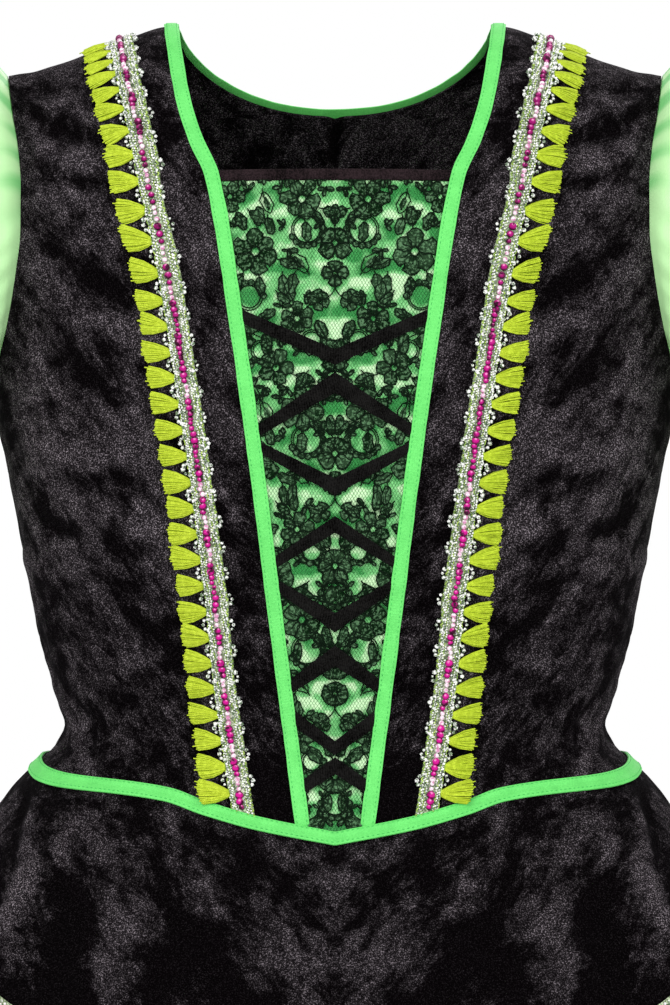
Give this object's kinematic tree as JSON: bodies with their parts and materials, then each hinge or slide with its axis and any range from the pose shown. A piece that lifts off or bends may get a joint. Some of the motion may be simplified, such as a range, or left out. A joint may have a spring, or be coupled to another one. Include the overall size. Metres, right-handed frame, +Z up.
{
  "type": "witch costume dress",
  "caption": "Child's costume dress: velvet bodice with a laced front insert, tasselled braids, puff sleeves, peplum and flared satin skirt, held open as worn.",
  "frame": {"origin": "middle of the body, level with the neck ends of the shoulder seams, where the wearer's shoulders hold the dress up", "axes": "+Z up, -Y out of the front, +X towards the wearer's left"},
  "size_m": [0.5192, 0.454, 0.7018],
  "materials": {
    "velvet": "crushed pile",
    "satin": "soft shine",
    "lace": "matte threads",
    "bias": "smooth woven tape",
    "ribbon": "matte ribbed",
    "braid": "glinting beads and thread",
    "threads": "soft cut threads"
  },
  "bodies": {
    "root": {"bodice_front_left": "velvet", "bodice_back_left": "velvet", "bodice_front_right": "velvet", "bodice_back_right": "velvet", "peplum_front": "velvet", "peplum_back": "velvet", "sleeve_left": "satin", "cuff_left": "satin", "sleeve_right": "satin", "cuff_right": "satin", "stomacher_satin": "satin", "skirt_front": "satin", "skirt_back": "satin", "stomacher_lace": "lace", "front_trim_left": "bias", "back_neck_trim_left": "bias", "waist_trim_back_left": "bias", "front_trim_right": "bias", "back_neck_trim_right": "bias", "waist_trim_back_right": "bias", "waist_trim_front": "bias", "lacing_v1": "ribbon", "lacing_v2": "ribbon", "lacing_v3": "ribbon", "lacing_v4": "ribbon", "lacing_a1": "ribbon", "lacing_a2": "ribbon", "lacing_a3": "ribbon", "lacing_a4": "ribbon", "stomacher_binding": "ribbon", "braid_left": "braid", "braid_right": "braid", "peplum_braid_front": "braid", "peplum_braid_back": "braid", "fringe_left": "threads", "fringe_right": "threads"}
  },
  "joints": []
}
